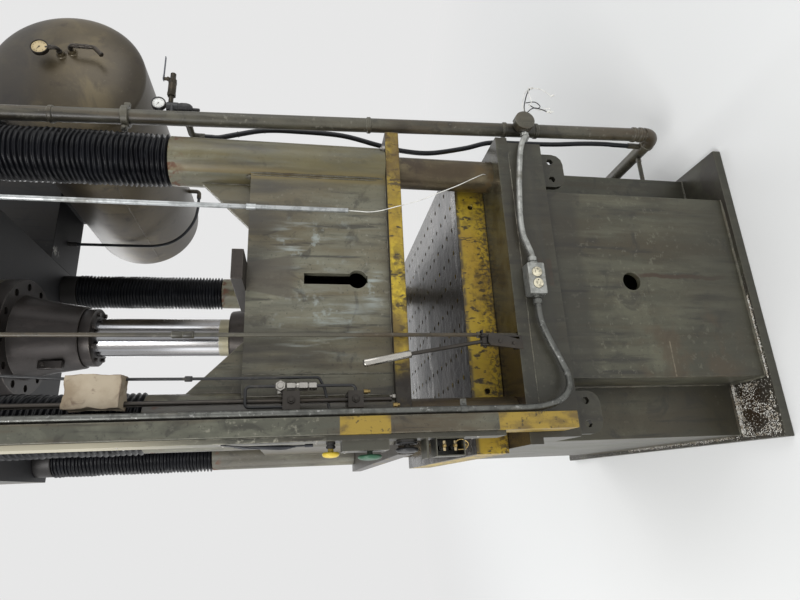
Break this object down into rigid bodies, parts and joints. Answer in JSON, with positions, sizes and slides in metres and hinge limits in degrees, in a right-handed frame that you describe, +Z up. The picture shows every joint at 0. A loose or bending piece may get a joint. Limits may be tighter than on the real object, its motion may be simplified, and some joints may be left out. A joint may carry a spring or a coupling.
{
  "type": "hydraulic press",
  "caption": "Four-column press: a ram and slide with keyhole front travel over a bolster; bellows, air tank, hose and a hand lever at the front.",
  "frame": {"origin": "centre of the base plate's underside, on the floor", "axes": "+Z up, +Y away from the operator, +X to the operator's right, towards the air tank"},
  "size_m": [1.8693, 1.875, 3.4276],
  "materials": {
    "frame_paint": "dull olive grey paint, oily and stained brown",
    "slide_paint": "worn grey-green paint, rubbed bright in places",
    "yellow_paint": "worn yellow paint with black wear spots",
    "column_steel": "ground steel under brown oil",
    "chrome": "bright, with oil streaks",
    "dark_casting": "dark, oily and stained",
    "black_rubber": "satin black",
    "tank_steel": "dark brownish metallic paint, stained",
    "zinc": "dull galvanised",
    "pipe_paint": "dull olive paint with bare spots",
    "black_plastic": "matt black",
    "green_plastic": "faded green, dusty",
    "yellow_plastic": "yellow, dusty",
    "ivory_plastic": "ivory",
    "beige_paint": "dirty beige",
    "white_insulation": "white",
    "bolt_steel": "dark oiled steel"
  },
  "bodies": {
    "frame": {"base_plate": "frame_paint", "pedestal": "frame_paint", "bed": "frame_paint", "bolster": "yellow_paint", "column_front_left": "column_steel", "column_front_right": "column_steel", "column_rear_left": "column_steel", "column_rear_right": "column_steel", "crown": "frame_paint", "main_cylinder": "dark_casting", "cylinder_gland": "dark_casting", "bellows_front_left": "black_rubber", "bellows_front_right": "black_rubber", "bellows_rear_left": "black_rubber", "bellows_rear_right": "black_rubber", "air_tank": "tank_steel", "outrigger_front": "frame_paint", "outrigger_rear": "frame_paint", "tank_gauge": "ivory_plastic", "tank_cock": "bolt_steel", "air_pipe": "pipe_paint", "junction_body": "pipe_paint", "junction_cover": "zinc", "regulator": "black_plastic", "line_gauge": "zinc", "ball_valve": "bolt_steel", "control_post": "frame_paint", "post_boxes": "frame_paint", "black_button_base": "black_plastic", "stop_button_base": "black_plastic", "conduit_left": "zinc", "outlet_box": "zinc", "receptacle": "ivory_plastic", "conduit_right": "zinc", "hanging_conduit": "zinc", "pilot_valves": "bolt_steel", "pilot_tube": "bolt_steel", "wiring_box": "beige_paint", "lever_bracket": "bolt_steel", "rod_guide": "dark_casting", "air_hose": "black_rubber", "tank_hose": "black_rubber", "loose_wire": "white_insulation"},
    "slide": {"platen": "yellow_paint", "slide_box": "slide_paint", "guide_sleeve_front_left": "slide_paint", "guide_sleeve_front_right": "slide_paint", "guide_sleeve_rear_left": "slide_paint", "guide_sleeve_rear_right": "slide_paint", "stop_bar": "slide_paint", "ram_flange": "dark_casting", "ram": "chrome", "piston": "bolt_steel"},
    "lever": {"hand_lever": "bolt_steel"},
    "rod": {"trip_rod": "pipe_paint"},
    "green_push": {"green_button": "green_plastic"},
    "black_push": {"black_button": "black_plastic"},
    "stop_push": {"stop_button": "yellow_plastic"},
    "valve_handle": {"valve_lever": "pipe_paint"}
  },
  "joints": [
    {"name": "slide_travel", "type": "slide", "parent": "frame", "child": "slide", "axis": [0, 0, 1], "range_m": [-0.21, 0.19], "deforming": ["bellows_front_left", "bellows_front_right", "bellows_rear_left", "bellows_rear_right"]},
    {"name": "lever_swing", "type": "hinge", "parent": "frame", "child": "lever", "pos_m": [-0.2225, -0.795, 1.034], "axis": [1, 0, 0], "range_deg": [-6, 18]},
    {"name": "rod_lift", "type": "slide", "parent": "frame", "child": "rod", "axis": [0, 0, 1], "range_m": [-0.003, 0.009]},
    {"name": "green_press", "type": "slide", "parent": "frame", "child": "green_push", "axis": [1, 0, 0], "range_m": [0, 0.004], "stiffness_N_per_m": 1200, "springref_m": -0.002},
    {"name": "black_press", "type": "slide", "parent": "frame", "child": "black_push", "axis": [1, 0, 0], "range_m": [0, 0.004], "stiffness_N_per_m": 1200, "springref_m": -0.002},
    {"name": "stop_press", "type": "slide", "parent": "frame", "child": "stop_push", "axis": [1, 0, 0], "range_m": [0, 0.005]},
    {"name": "valve_turn", "type": "hinge", "parent": "frame", "child": "valve_handle", "pos_m": [0.788, -0.65, 2.09], "axis": [0, 0, 1], "range_deg": [-90, 0]}
  ],
  "couplings": [
    {"joint": "rod_lift", "follows": "lever_swing", "m_per_rad": 0.025}
  ]
}
